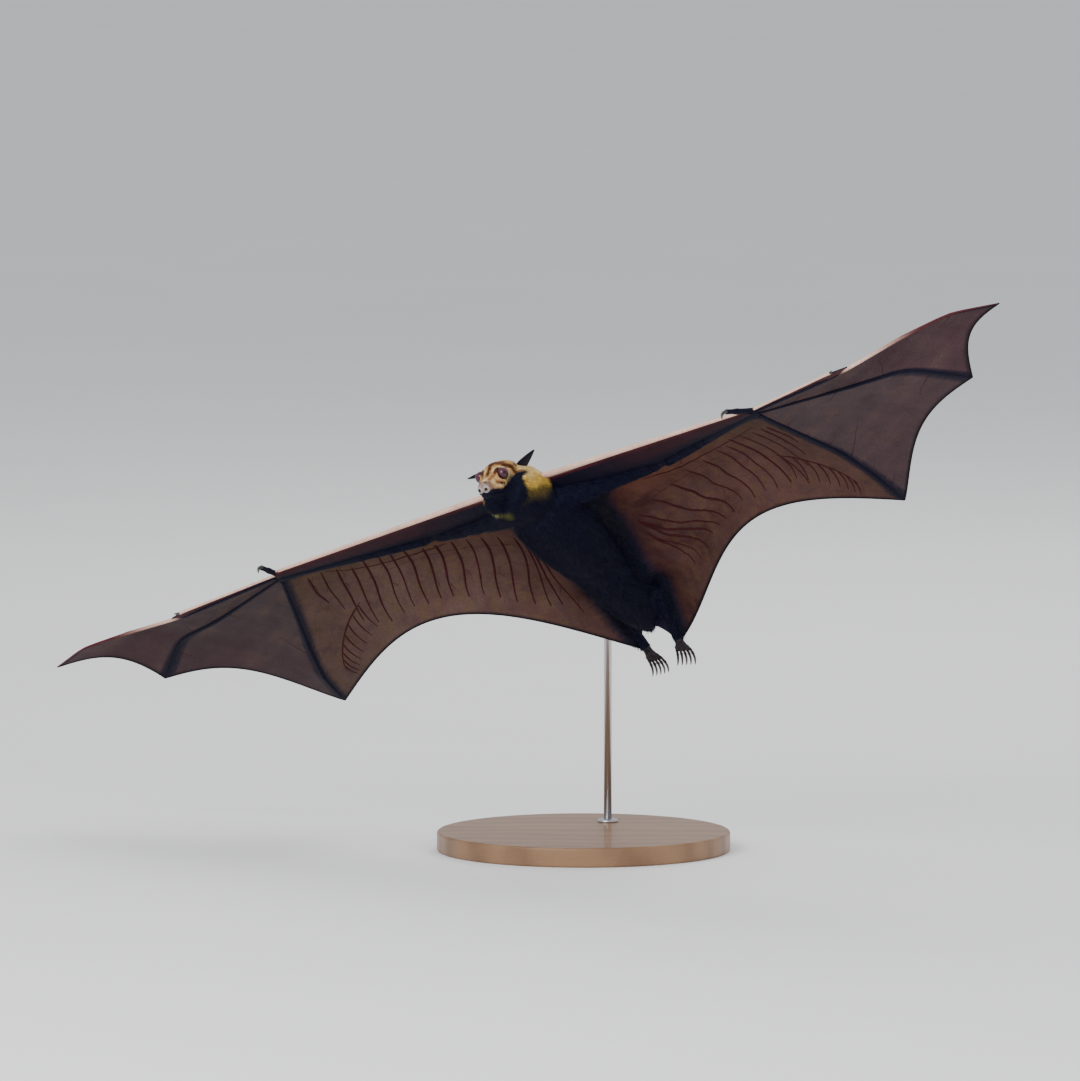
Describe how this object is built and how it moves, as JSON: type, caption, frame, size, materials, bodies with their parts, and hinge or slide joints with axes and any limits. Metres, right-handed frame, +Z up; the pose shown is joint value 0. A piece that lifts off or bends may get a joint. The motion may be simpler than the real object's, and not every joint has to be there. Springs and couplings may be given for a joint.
{
  "type": "flying fox bat",
  "caption": "Life-size still model of a spectacled flying fox gliding with spread wings, held above a round display base by a crooked rod.",
  "frame": {"origin": "centre of the display base's underside", "axes": "+Z up; +X along the wing span as seen from the front of the picture's view, towards the animal's raised left wing; the viewer stands on the -Y side"},
  "size_m": [0.9587, 0.6364, 0.5985],
  "materials": {
    "body_fur": "short black fur",
    "mantle_fur": "straw-yellow mantle fur",
    "face_fur": "short golden and rufous fur",
    "ear_skin": "bare dark skin",
    "dark_skin": "dark skin over bone",
    "wing_membrane": "thin veined skin",
    "claw_horn": "dark horn",
    "eye": "wet gloss",
    "stand_wood": "oiled",
    "stand_steel": "brushed"
  },
  "bodies": {
    "root": {"head": "face_fur", "ear_left": "ear_skin", "ear_right": "ear_skin", "eye_left": "eye", "eye_right": "eye", "neck": "mantle_fur", "trunk": "body_fur", "upper_arm_left": "body_fur", "upper_arm_right": "body_fur", "forearm_left": "dark_skin", "forearm_right": "dark_skin", "thumb_left": "dark_skin", "thumb_right": "dark_skin", "thumb_claw_left": "claw_horn", "thumb_claw_right": "claw_horn", "finger_second_left": "dark_skin", "finger_second_right": "dark_skin", "finger_third_left": "dark_skin", "finger_third_right": "dark_skin", "finger_fourth_left": "dark_skin", "finger_fourth_right": "dark_skin", "finger_fifth_left": "dark_skin", "finger_fifth_right": "dark_skin", "wing_front_left": "wing_membrane", "wing_front_right": "wing_membrane", "wing_inner_left": "wing_membrane", "wing_inner_right": "wing_membrane", "wing_middle_left": "wing_membrane", "wing_middle_right": "wing_membrane", "wing_outer_left": "wing_membrane", "wing_outer_right": "wing_membrane", "wing_tip_web_left": "wing_membrane", "wing_tip_web_right": "wing_membrane", "thigh_left": "body_fur", "thigh_right": "body_fur", "shank_left": "body_fur", "shank_right": "body_fur", "foot_left": "dark_skin", "foot_right": "dark_skin", "leg_web_left": "wing_membrane", "leg_web_right": "wing_membrane", "stand_base": "stand_wood", "stand_rod": "stand_steel"}
  },
  "joints": []
}
